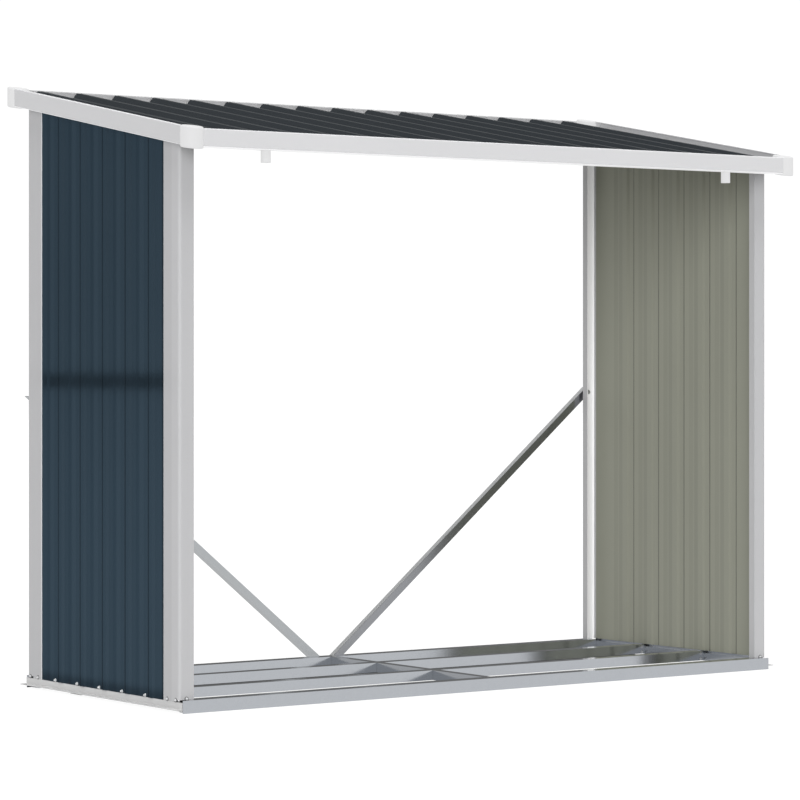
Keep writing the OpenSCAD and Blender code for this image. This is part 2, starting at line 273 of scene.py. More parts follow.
def matt_paper(name, tint):
    """A grey material without shine; returns material, tree and shader."""
    paper, tree, surface = start_material(name)
    surface.inputs["Base Color"].default_value = (tint, tint, tint, 1.0)
    surface.inputs["Specular IOR Level"].default_value = 0.0
    return paper, tree, surface


def build_floor():
    """A wide pale floor at the height the store stands on."""
    paper, tree, surface = matt_paper("pale_floor", FLOOR_TINT)
    surface.inputs["Roughness"].default_value = FLOOR_ROUGHNESS
    surface.inputs["Emission Color"].default_value = WHITE
    seen = tree.nodes.new("ShaderNodeLightPath").outputs["Is Camera Ray"]
    glow = mix_value(tree, seen, FLOOR_GLOW, FLOOR_GLOW_SEEN)
    link(tree, glow, surface.inputs["Emission Strength"])
    side = (-FLOOR_HALF, FLOOR_HALF)
    floor = add_flat("floor", [(x, y, cad_low[2]) for x, y in rectangle(side, side)], paper)


def add_card(name, corners, tint):
    """A plain matt card of the stage; returns it."""
    card = add_flat(name, corners, matt_paper(name, tint)[0])
    return card


def build_cards():
    """A dark strip that only mirrors see beside the left wall, and a painted shadow under the back middle
    rails.
    """
    strip = add_card("dark_strip", [(STRIP_X, y, z) for y, z in rectangle(STRIP_Y, STRIP_Z)], STRIP_TINT)
    strip.visible_camera = False
    strip.visible_diffuse = False
    strip.visible_shadow = False
    low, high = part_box("rail_mid_back_left")
    ends = rectangle((low[0], -low[0]), (low[1], high[1] + SHADE_DEPTH))
    # A grey card painted as the shadow under the back middle rails.
    add_card("painted_rail_shadow", [(x, y, cad_low[2] + SHADE_LIFT) for x, y in ends], SHADE_TINT)


build_floor()
build_cards()
print("stage: a floor of", 2 * FLOOR_HALF, "m and two cards")

# %% [markdown]
# A wide key light near the camera reaches into the folds of the posts, which a room alone leaves
# dark, and a second one lights the store from above. Both are suns with a large angle, so their
# shadows are soft. They stay out of mirror reflections, where a sun would leave a hot spot.

# %% Key and top light
KEY_FROM = Vector((-0.67, -0.70, 0.12)).normalized()
KEY_STRENGTH = 1.95
KEY_ANGLE = 40.0
TOP_FROM = Vector((0.0, -0.15, 1.0)).normalized()
TOP_STRENGTH = 3.2
TOP_ANGLE = 60.0


def add_wide_sun(name, come_from, strength, angle):
    """A sun so wide that its shadows have soft edges; it stays out of mirror reflections."""
    data = bpy.data.lights.new(name, "SUN")
    data.energy = strength
    data.angle = math.radians(angle)
    sun = bpy.data.objects.new(name, data)
    sun.rotation_euler = come_from.to_track_quat("Z", "Y").to_euler()
    sun.visible_glossy = False
    scene.collection.objects.link(sun)
    print(name, "strength", strength, "angle", angle)


add_wide_sun("key_light", KEY_FROM, KEY_STRENGTH, KEY_ANGLE)
add_wide_sun("top_light", TOP_FROM, TOP_STRENGTH, TOP_ANGLE)

# %% [markdown]
# Paint on sheet steel is never quite even. Two effects are shared by all the painted pieces: the
# fine orange-peel of a baked coat, and slow drifts of tone from panel to panel. They live in one
# node group, so every paint uses the same pattern with its own values. The pattern reads object
# coordinates, so its scale is in metres and it stays put on the piece.

# %% Shared paint effect
PAINT_INPUTS = {"Peel Scale": 420.0, "Drift": 0.04, "Roughness": 0.4, "Roughness Swing": 0.06}
PEEL_DETAIL = 1.0
DRIFT_SCALE = 2.3
DRIFT_DETAIL = 3.0
WEAR_SCALE = 9.0
WEAR_DETAIL = 2.0


def new_group(name, inputs, outputs):
    """A shader node group with float inputs {name: value} and float outputs; returns tree and ends."""
    tree = bpy.data.node_groups.new(name, "ShaderNodeTree")
    for title, value in inputs.items():
        socket = tree.interface.new_socket(title, in_out="INPUT", socket_type="NodeSocketFloat")
        socket.default_value = value
    for title in outputs:
        tree.interface.new_socket(title, in_out="OUTPUT", socket_type="NodeSocketFloat")
    start = tree.nodes.new("NodeGroupInput")
    end = tree.nodes.new("NodeGroupOutput")
    return tree, start.outputs, end.inputs


def noise(tree, scale, detail):
    """A noise value on object coordinates."""
    pattern = tree.nodes.new("ShaderNodeTexNoise")
    pattern.inputs["Detail"].default_value = detail
    link(tree, coordinate(tree, "Object"), pattern.inputs["Vector"])
    feed(tree, scale, pattern.inputs["Scale"])
    return pattern.outputs["Fac"]


def spread(tree, pattern, middle, swing):
    """Turns a 0 to 1 pattern into values from middle - swing to middle + swing."""
    low = math_node(tree, "SUBTRACT", middle, swing)
    high = math_node(tree, "ADD", middle, swing)
    return map_range(tree, pattern, (low, high))


def build_paint_group():
    """Baked coat: a drifting tone near 1, a peel height and a roughness."""
    tree, given, result = new_group("baked_coat", PAINT_INPUTS, ("Tone", "Height", "Roughness"))
    drift = noise(tree, DRIFT_SCALE, DRIFT_DETAIL)
    link(tree, spread(tree, drift, 1.0, given["Drift"]), result["Tone"])
    link(tree, noise(tree, given["Peel Scale"], PEEL_DETAIL), result["Height"])
    wear = noise(tree, WEAR_SCALE, WEAR_DETAIL)
    link(tree, spread(tree, wear, given["Roughness"], given["Roughness Swing"]), result["Roughness"])
    return tree


paint_group = build_paint_group()
print("group:", paint_group.name, [s.name for s in paint_group.interface.items_tree])

# %% [markdown]
# Zinc from a dipping bath freezes in crystals, the spangle, each a slightly different grey. A
# Voronoi pattern gives one random value per crystal. Small tone steps and small roughness steps
# are enough; on a rail two fingers wide anything stronger would look like camouflage.

# %% Zinc spangle
SPANGLE_INPUTS = {"Crystals": 90.0, "Contrast": 0.008, "Roughness": 0.3, "Roughness Swing": 0.01}


def build_spangle_group():
    """Zinc crystals: a tone near 1 and a roughness for each crystal."""
    tree, given, result = new_group("zinc_spangle", SPANGLE_INPUTS, ("Tone", "Roughness"))
    crystal = tree.nodes.new("ShaderNodeTexVoronoi")
    link(tree, coordinate(tree, "Object"), crystal.inputs["Vector"])
    link(tree, given["Crystals"], crystal.inputs["Scale"])
    grey = tree.nodes.new("ShaderNodeSeparateColor")
    link(tree, crystal.outputs["Color"], grey.inputs["Color"])
    link(tree, spread(tree, grey.outputs["Red"], 1.0, given["Contrast"]), result["Tone"])
    rough = spread(tree, grey.outputs["Green"], given["Roughness"], given["Roughness Swing"])
    link(tree, rough, result["Roughness"])
    return tree


spangle_group = build_spangle_group()
print("group:", spangle_group.name, [s.name for s in spangle_group.interface.items_tree])

# %% [markdown]
# Each finish is its own material with its own Principled shader. Numbers that are the same all
# over sit on the shader's sockets; only what changes over the surface comes through links. The
# pale coats share one function: a colour, the baked-coat tone, and a faint peel in the normal.
#
# The caps are to look equally bright from every side, so most of their brightness is a white glow
# over a dark colour. On the trim only the undersides glow, as if lit by a pale floor.

# %% Pale coats for trim and caps
PALE_DRIFT = 0.02
PALE_SPECULAR = 0.4
PALE_PEEL = 0.08
PALE_PEEL_DEPTH = 0.0004
TRIM_WHITE = (0.572, 0.572, 0.582)
TRIM_ROUGHNESS = 0.40
UNDER_LIMIT = -0.5
UNDER_GLOW = 0.45
CAP_WHITE = (0.16, 0.16, 0.164)
CAP_ROUGHNESS = 0.48
CAP_DRIFT = 0.012
CAP_GLOW = 0.56


def add_group(tree, group, **values):
    """Places a node group and sets its inputs."""
    node = tree.nodes.new("ShaderNodeGroup")
    node.node_tree = group
    for title, value in values.items():
        node.inputs[title].default_value = value
    return node


def tinted(tree, color, tone):
    """A colour multiplied by a tone; color is a socket or a plain RGB."""
    node = tree.nodes.new("ShaderNodeVectorMath")
    node.operation = "SCALE"
    feed(tree, color, node.inputs[0])
    link(tree, tone, node.inputs["Scale"])
    return node.outputs["Vector"]


def add_bump(tree, shader, height, strength, distance):
    """Feeds a height into the shader's normal."""
    bump = tree.nodes.new("ShaderNodeBump")
    bump.inputs["Strength"].default_value = strength
    bump.inputs["Distance"].default_value = distance
    link(tree, height, bump.inputs["Height"])
    link(tree, bump.outputs["Normal"], shader.inputs["Normal"])


def add_glow(material, strength, mask=None):
    """A white emission, all over or only where a mask is 1."""
    shader = shader_of(material)
    shader.inputs["Emission Strength"].default_value = strength
    feed(material.node_tree, WHITE if mask is None else mask, shader.inputs["Emission Color"])


def pale_coat(name, color, roughness, drift=PALE_DRIFT):
    """A pale paint or plastic with a faint peel."""
    material, tree, shader = start_material(name)
    coat = add_group(tree, paint_group, Drift=drift, Roughness=roughness)
    link(tree, tinted(tree, color, coat.outputs["Tone"]), shader.inputs["Base Color"])
    link(tree, coat.outputs["Roughness"], shader.inputs["Roughness"])
    shader.inputs["Specular IOR Level"].default_value = PALE_SPECULAR
    add_bump(tree, shader, coat.outputs["Height"], PALE_PEEL, PALE_PEEL_DEPTH)
    return material


trim_coat = pale_coat("trim_coat", TRIM_WHITE, TRIM_ROUGHNESS)
trim_tree = trim_coat.node_tree
is_under = math_node(trim_tree, "LESS_THAN", axis_of(trim_tree, "Normal", "Z"), UNDER_LIMIT)
add_glow(trim_coat, UNDER_GLOW, is_under)
cap_plastic = pale_coat("cap_plastic", CAP_WHITE, CAP_ROUGHNESS, drift=CAP_DRIFT)
add_glow(cap_plastic, CAP_GLOW)
print("pale coats:", trim_coat.name, cap_plastic.name)

# %% [markdown]
# The base and the braces are bare zinc: a metal with the spangle group for its tone and roughness.
# A smooth rail is a mirror, and what it mirrors depends on the exact tilt of its face. Tipping the
# shading normal up a little lets the rails and braces mirror more of the room and less floor. The
# side rails are bright inside the shelter and dull outside, split by a plane across the X axis.

# %% Zinc for the base and the braces
ZINC_GREY = (0.54, 0.563, 0.597)
BRACE_GREY = (0.52, 0.54, 0.555)
BRACE_PAINTED_SHADE = (0.37, 0.38, 0.40)
LEG_GREY = (0.50, 0.51, 0.515)
SILL_GREY = (0.55, 0.55, 0.55, 1.0)
SILL_MARGIN = 0.003
SILL_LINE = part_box("post_front_right")[1][0] - SILL_MARGIN
RAIL_ROUGHNESS = 0.14
BRACE_ROUGHNESS = 0.18
LEG_ROUGHNESS = 0.30
SILL_ROUGHNESS = 0.2
DULL_METAL = 0.3
RAIL_LEAN = 0.17
BRACE_LEAN = 0.08
LEFT = (-1.0, 0.0, 0.0)
RIGHT = (1.0, 0.0, 0.0)
FRONT = (0.0, -1.0, 0.0)
BACK = (0.0, 1.0, 0.0)
UP = (0.0, 0.0, 1.0)


def lean_normal(tree, shader, lean):
    """Tips the shading normal upwards, as on a rolled section whose faces lean back a little."""
    tip = tree.nodes.new("ShaderNodeVectorMath")
    tip.inputs[1].default_value = (0.0, 0.0, lean)
    link(tree, tree.nodes.new("ShaderNodeNewGeometry").outputs["Normal"], tip.inputs[0])
    unit = tree.nodes.new("ShaderNodeVectorMath")
    unit.operation = "NORMALIZE"
    link(tree, tip.outputs["Vector"], unit.inputs[0])
    link(tree, unit.outputs["Vector"], shader.inputs["Normal"])


def zinc(name, color, roughness, metallic=1.0, lean=0.0):
    """Metal with spangle."""
    material, tree, shader = start_material(name)
    spangle = add_group(tree, spangle_group, Roughness=roughness)
    link(tree, tinted(tree, color, spangle.outputs["Tone"]), shader.inputs["Base Color"])
    link(tree, spangle.outputs["Roughness"], shader.inputs["Roughness"])
    shader.inputs["Metallic"].default_value = metallic
    if lean:
        lean_normal(tree, shader, lean)
    return material


def sill(name, outward):
    """Zinc whose outer side is a dull grey and whose side in the shelter is bright."""
    material = zinc(name, ZINC_GREY, SILL_ROUGHNESS)
    tree = material.node_tree
    shader = shader_of(material)
    is_outside = math_node(tree, "GREATER_THAN", dot(tree, coordinate(tree, "Object"), outward), SILL_LINE)
    bright = shader.inputs["Base Color"].links[0].from_socket
    link(tree, mix_color(tree, is_outside, bright, SILL_GREY), shader.inputs["Base Color"])
    link(tree, math_node(tree, "SUBTRACT", 1.0, is_outside), shader.inputs["Metallic"])
    return material


rail_zinc = zinc("rail_zinc", ZINC_GREY, RAIL_ROUGHNESS, lean=RAIL_LEAN)
brace_zinc = zinc("brace_zinc", BRACE_GREY, BRACE_ROUGHNESS, lean=BRACE_LEAN)
# Painted shade: the right brace takes a darker copy of the brace zinc.
brace_zinc_painted_shade = zinc("brace_zinc_painted_shade", BRACE_PAINTED_SHADE, BRACE_ROUGHNESS, lean=BRACE_LEAN)
leg_zinc = zinc("leg_zinc", LEG_GREY, LEG_ROUGHNESS, metallic=DULL_METAL)
sill_left = sill("sill_zinc_left", LEFT)
sill_right = sill("sill_zinc_right", RIGHT)
print("zinc:", rail_zinc.name, brace_zinc.name, leg_zinc.name, sill_left.name, sill_right.name)

# %% [markdown]
# Coil-coated sheet is painted twice: a colour coat outside and a plain back coat inside. One
# closed sheet carries both, so the material asks which way the surface faces. The dot product of
# the surface normal with the outward direction is near 1 outside and near -1 inside.
#
# The roof is the first sheet. It is plain paint with little shine, because a metal at such a low
# angle would shine white. Its level strips get a thin clear coat on top: a coat mirrors most at
# a low angle, so the strips stand out as light lines when the roof is seen from the ground.

# %% Two-sided sheet paint and the roof
INSIDE_LIMIT = -0.5
SHEET_DRIFT = 0.03
SHEET_PEEL = 0.03
SHEET_PEEL_DEPTH = 0.0003
EDGE_TINT = (0.25, 0.25, 0.25, 1.0)
BACK_COAT = (0.29, 0.295, 0.245, 1.0)
ROOF_SLATE = (0.0245, 0.0283, 0.032, 1.0)
ROOF_ROUGHNESS = 0.5
ROOF_SPECULAR = 0.05
FLAT_LIMIT = 0.95
STRIP_COAT = 0.25
STRIP_COAT_ROUGHNESS = 0.3


def sheet_coat(name, outward, outside, inside, roughness, specular, shade=None):
    """A colour coat outside and a back coat inside; returns the material and the mask of its outside.

    shade is a function of the tree and that mask, and gives a tone that darkens or lightens both coats.
    """
    material, tree, shader = start_material(name)
    coat = add_group(tree, paint_group, Drift=SHEET_DRIFT, Roughness=roughness)
    facing = dot(tree, coordinate(tree, "Normal"), outward)
    is_outside = math_node(tree, "GREATER_THAN", facing, INSIDE_LIMIT)
    tone = coat.outputs["Tone"]
    if shade:
        tone = math_node(tree, "MULTIPLY", tone, shade(tree, is_outside))
    color = mix_color(tree, is_outside, inside, outside)
    link(tree, tinted(tree, color, tone), shader.inputs["Base Color"])
    link(tree, coat.outputs["Roughness"], shader.inputs["Roughness"])
    shader.inputs["Specular IOR Level"].default_value = specular
    shader.inputs["Specular Tint"].default_value = EDGE_TINT
    add_bump(tree, shader, coat.outputs["Height"], SHEET_PEEL, SHEET_PEEL_DEPTH)
    return material, is_outside


def coat_level_strips(material):
    """A clear coat on the level strips of a sheet, and none on the flanks of its ribs."""
    tree = material.node_tree
    shader = shader_of(material)
    is_flat = math_node(tree, "GREATER_THAN", axis_of(tree, "Normal", "Z"), FLAT_LIMIT)
    link(tree, math_node(tree, "MULTIPLY", is_flat, STRIP_COAT), shader.inputs["Coat Weight"])
    shader.inputs["Coat Roughness"].default_value = STRIP_COAT_ROUGHNESS


roof_coat, _ = sheet_coat("roof_coat", UP, ROOF_SLATE, BACK_COAT, ROOF_ROUGHNESS, ROOF_SPECULAR)
coat_level_strips(roof_coat)
print("roof:", roof_coat.name, len(roof_coat.node_tree.nodes), "nodes")

# %% [markdown]
# The wall paint holds fine metal flakes, so it mirrors the room in its own slate colour; a
# Metallic value does that. Ribs and shallow swages are told apart by the slant of their normal,
# and each kind of flank gets its own share of painted shade, outside and inside, with a little
# painted light on the outer swages; the back flanks also lose their flakes, which darkens them.
# A thin dark line of painted shadow follows the back shoulder of every rib: a ping-pong of the
# distance along the wall comes back to zero once in each pitch. Soft ramps paint shadow on the
# wall beside the front post and above the rail.

# %% Walls
WALL_SLATE = (0.0495, 0.0785, 0.1065, 1.0)
WALL_ROUGHNESS = 0.22
WALL_SPECULAR = 0.2
WALL_FLAKES = 0.75
FOLD_LIMIT = 0.2
SWAGE_LIMIT = 0.04
# Tone shares for back flanks, front flanks and swages: painted shade, and on the outer swages a little
# painted light.
OUTER_FOLD_SHADES = (0.30, 0.97, 1.02)
INNER_FOLD_SHADES = (0.6, 0.95, 0.92)
CREASE_HALF = 0.0026
CREASE_IN = 0.002
# Depth of the painted shadow line on each rib shoulder.
CREASE_SHADOW_LOSS = 0.43
SAME_PLANE = 0.0005
# Ramps of painted shadow beside the front post and above the base rail.
EDGE_WIDTH = 0.016
EDGE_SHADOW_LEVEL = 0.0
FOOT_WIDTH = 0.035
FOOT_SHADOW_LEVEL = 0.60

rib_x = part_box("wall_left")[0][0] + SAME_PLANE
rib_edges = sorted({round(v.co.y, 4) for v in nodes["wall_left"].data.vertices if v.co.x < rib_x})
crease_first = rib_edges[1] - CREASE_IN
rib_pitch = rib_edges[2] - rib_edges[0]
edge_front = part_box("post_front_left")[1][1]
edge_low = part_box("rail_left")[1][2]


def fold_shade(tree, is_outside):
    """Painted shade for the back flanks, front flanks and swages of a ribbed wall, on either side, and a
    little painted light on the outer swages.
    """
    slant = axis_of(tree, "Normal", "Y")
    steep = math_node(tree, "ABSOLUTE", slant)
    raised = math_node(tree, "GREATER_THAN", steep, SWAGE_LIMIT)
    shallow = math_node(tree, "MULTIPLY", raised, math_node(tree, "LESS_THAN", steep, FOLD_LIMIT))
    back_flank = math_node(tree, "GREATER_THAN", slant, FOLD_LIMIT)
    front_flank = math_node(tree, "LESS_THAN", slant, -FOLD_LIMIT)
    tone = 1.0
    for mask, outer, inner in zip((back_flank, front_flank, shallow), OUTER_FOLD_SHADES, INNER_FOLD_SHADES):
        change = math_node(tree, "MULTIPLY", is_outside, outer - inner)
        change = math_node(tree, "ADD", change, inner - 1.0)
        tone = math_node(tree, "ADD", tone, math_node(tree, "MULTIPLY", mask, change))
    return tone


def crease_shade(tree, is_outside):
    """A thin line of painted shadow that comes back once in each pitch, on the outside only."""
    along = math_node(tree, "SUBTRACT", axis_of(tree, "Object", "Y"), crease_first)
    distance = math_node(tree, "PINGPONG", along, rib_pitch / 2)
    on_line = math_node(tree, "LESS_THAN", distance, CREASE_HALF)
    loss = math_node(tree, "MULTIPLY", math_node(tree, "MULTIPLY", on_line, is_outside), CREASE_SHADOW_LOSS)
    return math_node(tree, "SUBTRACT", 1.0, loss)


def edge_shade(tree, is_outside):
    """Paints shadow on the outside of a wall beside the front post and above the base rail."""
    behind = math_node(tree, "SUBTRACT", axis_of(tree, "Object", "Y"), edge_front)
    above = math_node(tree, "SUBTRACT", axis_of(tree, "Object", "Z"), edge_low)
    beside_post = map_range(tree, behind, (EDGE_SHADOW_LEVEL, 1.0), out_of=(0.0, EDGE_WIDTH), soft=True)
    over_rail = map_range(tree, above, (FOOT_SHADOW_LEVEL, 1.0), out_of=(0.0, FOOT_WIDTH), soft=True)
    shade = math_node(tree, "MULTIPLY", beside_post, over_rail)
    loss = math_node(tree, "MULTIPLY", is_outside, math_node(tree, "SUBTRACT", 1.0, shade))
    return math_node(tree, "SUBTRACT", 1.0, loss)


def wall_shade(tree, is_outside):
    """All the painted shades of a wall in one tone."""
    tone = math_node(tree, "MULTIPLY", fold_shade(tree, is_outside), crease_shade(tree, is_outside))
    return math_node(tree, "MULTIPLY", tone, edge_shade(tree, is_outside))


def wall_coat(name, outward):
    """Slate paint with metal flakes; the back coat has none, and the back flanks of the ribs have none so
    that they go dark, a painted shade.
    """
    material, is_outside = sheet_coat(name, outward, WALL_SLATE, BACK_COAT,
                                      WALL_ROUGHNESS, WALL_SPECULAR, wall_shade)
    tree = material.node_tree
    back_flank = math_node(tree, "GREATER_THAN", axis_of(tree, "Normal", "Y"), FOLD_LIMIT)
    flakes = math_node(tree, "MAXIMUM", math_node(tree, "SUBTRACT", is_outside, back_flank), 0.0)
    link(tree, math_node(tree, "MULTIPLY", flakes, WALL_FLAKES), shader_of(material).inputs["Metallic"])
    return material


wall_left_coat = wall_coat("wall_coat_left", LEFT)
wall_right_coat = wall_coat("wall_coat_right", RIGHT)
print("walls:", wall_left_coat.name, wall_right_coat.name, "with a rib every", round(rib_pitch, 4), "m")

# %% [markdown]
# The posts are grey outside and white inside. Beside the rolled front corner of a front post, a
# strip of its side leg has a painted highlight that ends in a soft edge at a fixed Y. The inner
# faces of the back posts glow faintly, in place of the light that bounces about inside a fold.

# %% Posts
POST_GREY = (0.448, 0.448, 0.457, 1.0)
POST_WHITE = (0.92, 0.92, 0.92, 1.0)
POST_ROUGHNESS = 0.32
POST_SPECULAR = 0.5
POST_GLOW = 0.17
SIDEWAYS_LIMIT = 0.5
BAND_WIDTH = 0.040
BAND_SOFT = 0.005
# Painted highlight on the side leg next to the rolled corner.
HIGHLIGHT_GAIN = 0.08

band_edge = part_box("post_front_left")[0][1] + BAND_WIDTH


def painted_roll_highlight(tree, is_outside):
    """A painted highlight, a tone over 1, on the rolled front strip of a side leg; it is the same on both
    of its sides.
    """
    sideways = math_node(tree, "ABSOLUTE", axis_of(tree, "Normal", "X"))
    is_side = math_node(tree, "GREATER_THAN", sideways, SIDEWAYS_LIMIT)
    strip = map_range(tree, axis_of(tree, "Object", "Y"), (0.0, HIGHLIGHT_GAIN),
                      out_of=(band_edge + BAND_SOFT, band_edge), soft=True)
    return math_node(tree, "ADD", 1.0, math_node(tree, "MULTIPLY", strip, is_side))


post_front_coat, _ = sheet_coat("post_coat_front", FRONT, POST_GREY, POST_WHITE,
                                POST_ROUGHNESS, POST_SPECULAR, painted_roll_highlight)
post_back_coat, is_outer = sheet_coat("post_coat_back", BACK, POST_GREY, POST_WHITE,
                                      POST_ROUGHNESS, POST_SPECULAR)
add_glow(post_back_coat, POST_GLOW, math_node(post_back_coat.node_tree, "SUBTRACT", 1.0, is_outer))
print("posts:", post_front_coat.name, post_back_coat.name)

# %% [markdown]
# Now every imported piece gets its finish. The table lists the start of a node's name and the coat
# that goes with it; the first start that fits wins, so single pieces stand above whole families.

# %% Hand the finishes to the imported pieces
FINISH_OF = {
    "rail_left": sill_left, "rail_right": sill_right,
    "rail": rail_zinc, "spacer": brace_zinc,
    "brace_left": brace_zinc, "brace_right": brace_zinc_painted_shade,
    "post_front": post_front_coat, "post_back": post_back_coat,
    "top": post_front_coat, "gutter": trim_coat, "trim": trim_coat, "verge": trim_coat,
    "cap": cap_plastic, "spout": cap_plastic, "roof": roof_coat,
    "wall_left": wall_left_coat, "wall_right": wall_right_coat,
}
for name, piece in nodes.items():
    finish = next(coat for start, coat in FINISH_OF.items() if name.startswith(start))
    piece.data.materials.clear()
    piece.data.materials.append(finish)
print("finished:", len(nodes), "packed pieces")

# %% [markdown]
# They are the classic job for Geometry Nodes: a mesh of bare points says where each screw sits, an
# attribute says which way it faces, and the tree puts one washer-head screw on each point. The
# sizes are inputs of the tree, so the same tree also makes the larger brace bolts. Realizing the
# instances turns the result into ordinary mesh.

# %% Fixing tree
FIXING_SIZES = {"Washer Radius": 0.0046, "Washer Height": 0.0012,
                "Head Radius": 0.0034, "Head Height": 0.0032}
FIXING_COUNTS = {"Head Sides": 12, "Seed": 7}
WASHER_SIDES = 20
WASHER_TAPER = 0.9
HEAD_SHARE = 0.65
CROWN_SHARE = 0.35
CROWN_TAPER = 0.72


def disc(tree, sides, radius, height, start, taper):
    """A short cone that stands at the height of start; taper narrows its upper end."""
    solid = tree.nodes.new("GeometryNodeMeshCone")
    feed(tree, sides, solid.inputs["Vertices"])
    link(tree, radius, solid.inputs["Radius Bottom"])
    link(tree, math_node(tree, "MULTIPLY", radius, taper), solid.inputs["Radius Top"])
    link(tree, height, solid.inputs["Depth"])
    lift = tree.nodes.new("ShaderNodeCombineXYZ")
    feed(tree, start, lift.inputs["Z"])
    placed = tree.nodes.new("GeometryNodeTransform")
    link(tree, solid.outputs["Mesh"], placed.inputs["Geometry"])
    link(tree, lift.outputs["Vector"], placed.inputs["Translation"])
    return placed.outputs["Geometry"]


def fixing_shape(tree, given):
    """A washer, a straight head on it and a narrowing crown on top."""
    shank = math_node(tree, "MULTIPLY", given["Head Height"], HEAD_SHARE)
    crown = math_node(tree, "MULTIPLY", given["Head Height"], CROWN_SHARE)
    crown_start = math_node(tree, "ADD", given["Washer Height"], shank)
    parts = (
        disc(tree, WASHER_SIDES, given["Washer Radius"], given["Washer Height"], 0.0, WASHER_TAPER),
        disc(tree, given["Head Sides"], given["Head Radius"], shank, given["Washer Height"], 1.0),
        disc(tree, given["Head Sides"], given["Head Radius"], crown, crown_start, CROWN_TAPER),
    )
    joined = tree.nodes.new("GeometryNodeJoinGeometry")
    for part in parts:
        link(tree, part, joined.inputs["Geometry"])
    return joined.outputs["Geometry"]


def fixing_turn(tree, given):
    """A rotation that follows the facing attribute, with a random spin of the head."""
    facing = tree.nodes.new("GeometryNodeInputNamedAttribute")
    facing.data_type = "FLOAT_VECTOR"
    facing.inputs["Name"].default_value = "facing"
    turned = tree.nodes.new("FunctionNodeAlignRotationToVector")
    turned.axis = "Z"
    link(tree, facing.outputs["Attribute"], turned.inputs["Vector"])
    spin = tree.nodes.new("FunctionNodeRandomValue")
    spin.data_type = "FLOAT"
    spin_low, spin_high = [s for s in spin.inputs if s.type == "VALUE"][:2]
    spin_low.default_value = 0.0
    spin_high.default_value = math.tau
    link(tree, given["Seed"], spin.inputs["Seed"])
    twist = tree.nodes.new("FunctionNodeAxisAngleToRotation")
    twist.inputs["Axis"].default_value = UP
    link(tree, next(s for s in spin.outputs if s.type == "VALUE"), twist.inputs["Angle"])
    both = tree.nodes.new("FunctionNodeRotateRotation")
    both.rotation_space = "LOCAL"
    link(tree, turned.outputs["Rotation"], both.inputs["Rotation"])
    link(tree, twist.outputs["Rotation"], both.inputs["Rotate By"])
    return both.outputs["Rotation"]


def build_fixing_tree():
    """One fixing on every point, turned to its facing, as real mesh with a material."""
    tree = bpy.data.node_groups.new("washer_head_fixing", "GeometryNodeTree")
    tree.interface.new_socket("Geometry", in_out="INPUT", socket_type="NodeSocketGeometry")
    for kind, values in (("NodeSocketFloat", FIXING_SIZES), ("NodeSocketInt", FIXING_COUNTS)):
        for title, value in values.items():
            socket = tree.interface.new_socket(title, in_out="INPUT", socket_type=kind)
            socket.default_value = value
    tree.interface.new_socket("Finish", in_out="INPUT", socket_type="NodeSocketMaterial")
    tree.interface.new_socket("Geometry", in_out="OUTPUT", socket_type="NodeSocketGeometry")
    given = tree.nodes.new("NodeGroupInput").outputs
    placed = tree.nodes.new("GeometryNodeInstanceOnPoints")
    link(tree, given["Geometry"], placed.inputs["Points"])
    link(tree, fixing_shape(tree, given), placed.inputs["Instance"])
    link(tree, fixing_turn(tree, given), placed.inputs["Rotation"])
    real = tree.nodes.new("GeometryNodeRealizeInstances")
    link(tree, placed.outputs["Instances"], real.inputs["Geometry"])
    painted = tree.nodes.new("GeometryNodeSetMaterial")
    link(tree, real.outputs["Geometry"], painted.inputs["Geometry"])
    link(tree, given["Finish"], painted.inputs["Material"])
    end = tree.nodes.new("NodeGroupOutput")
    link(tree, painted.outputs["Geometry"], end.inputs["Geometry"])
    return tree


fixing_tree = build_fixing_tree()
print("tree:", fixing_tree.name, len(fixing_tree.nodes), "nodes")

# %% [markdown]
# One function serves every set of fixings. It makes the points, gives them a modifier with the
# tree, sets the inputs by their identifiers, and takes the finished mesh from the evaluated
# object. The points and the modifier are thrown away, and the mesh rides on the store.

# %% One function for every set of fixings
SCREW_GREY = (0.62, 0.63, 0.64)
SCREW_BRIGHT = (0.72, 0.73, 0.74)
SCREW_ROUGHNESS = 0.35
RUBBER_GREY = (0.10, 0.10, 0.10)
RUBBER_ROUGHNESS = 0.6


def add_fixings(name, places, finish, slot, **sizes):
    """Turns [(point, facing)] into one mesh of fixings; the names of sizes use _ for spaces."""
    points = bpy.data.meshes.new(name + "_points")
    points.from_pydata([place for place, _ in places], [], [])
    facing = points.attributes.new("facing", "FLOAT_VECTOR", "POINT")
    for item, (_, direction) in zip(facing.data, places):
        item.vector = direction
    seed = bpy.data.objects.new(name + "_points", points)
    scene.collection.objects.link(seed)
    modifier = seed.modifiers.new("fixings", "NODES")
    modifier.node_group = fixing_tree
    identifier = {s.name: s.identifier for s in fixing_tree.interface.items_tree if s.in_out == "INPUT"}
    for title, value in sizes.items():
        modifier[identifier[title.replace("_", " ")]] = value
    modifier[identifier["Finish"]] = finish
    graph = bpy.context.evaluated_depsgraph_get()
    mesh = bpy.data.meshes.new_from_object(seed.evaluated_get(graph))
    mesh.name = name
    seed.modifiers.remove(modifier)
    bpy.data.objects.remove(seed)
    piece = bpy.data.objects.new(name, mesh)
    scene.collection.objects.link(piece)
    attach(piece, "root")
    print(name, len(places), "fixings,", len(mesh.polygons), "faces")


screw_zinc = zinc("screw_zinc", SCREW_GREY, SCREW_ROUGHNESS)
screw_bright = zinc("screw_bright", SCREW_BRIGHT, SCREW_ROUGHNESS, metallic=DULL_METAL)
washer_rubber = pale_coat("washer_rubber", RUBBER_GREY, RUBBER_ROUGHNESS)
print("fixing finishes:", screw_zinc.name, screw_bright.name, washer_rubber.name)

# %% [markdown]
# Where do the screws go? The wall feet have one in each pan, just behind a rib. Each post has two
# in its side leg and one in its front or back leg. The middle rails have two at each outer end.
# All of it mirrors left to right, so the lists are written once and reflected.

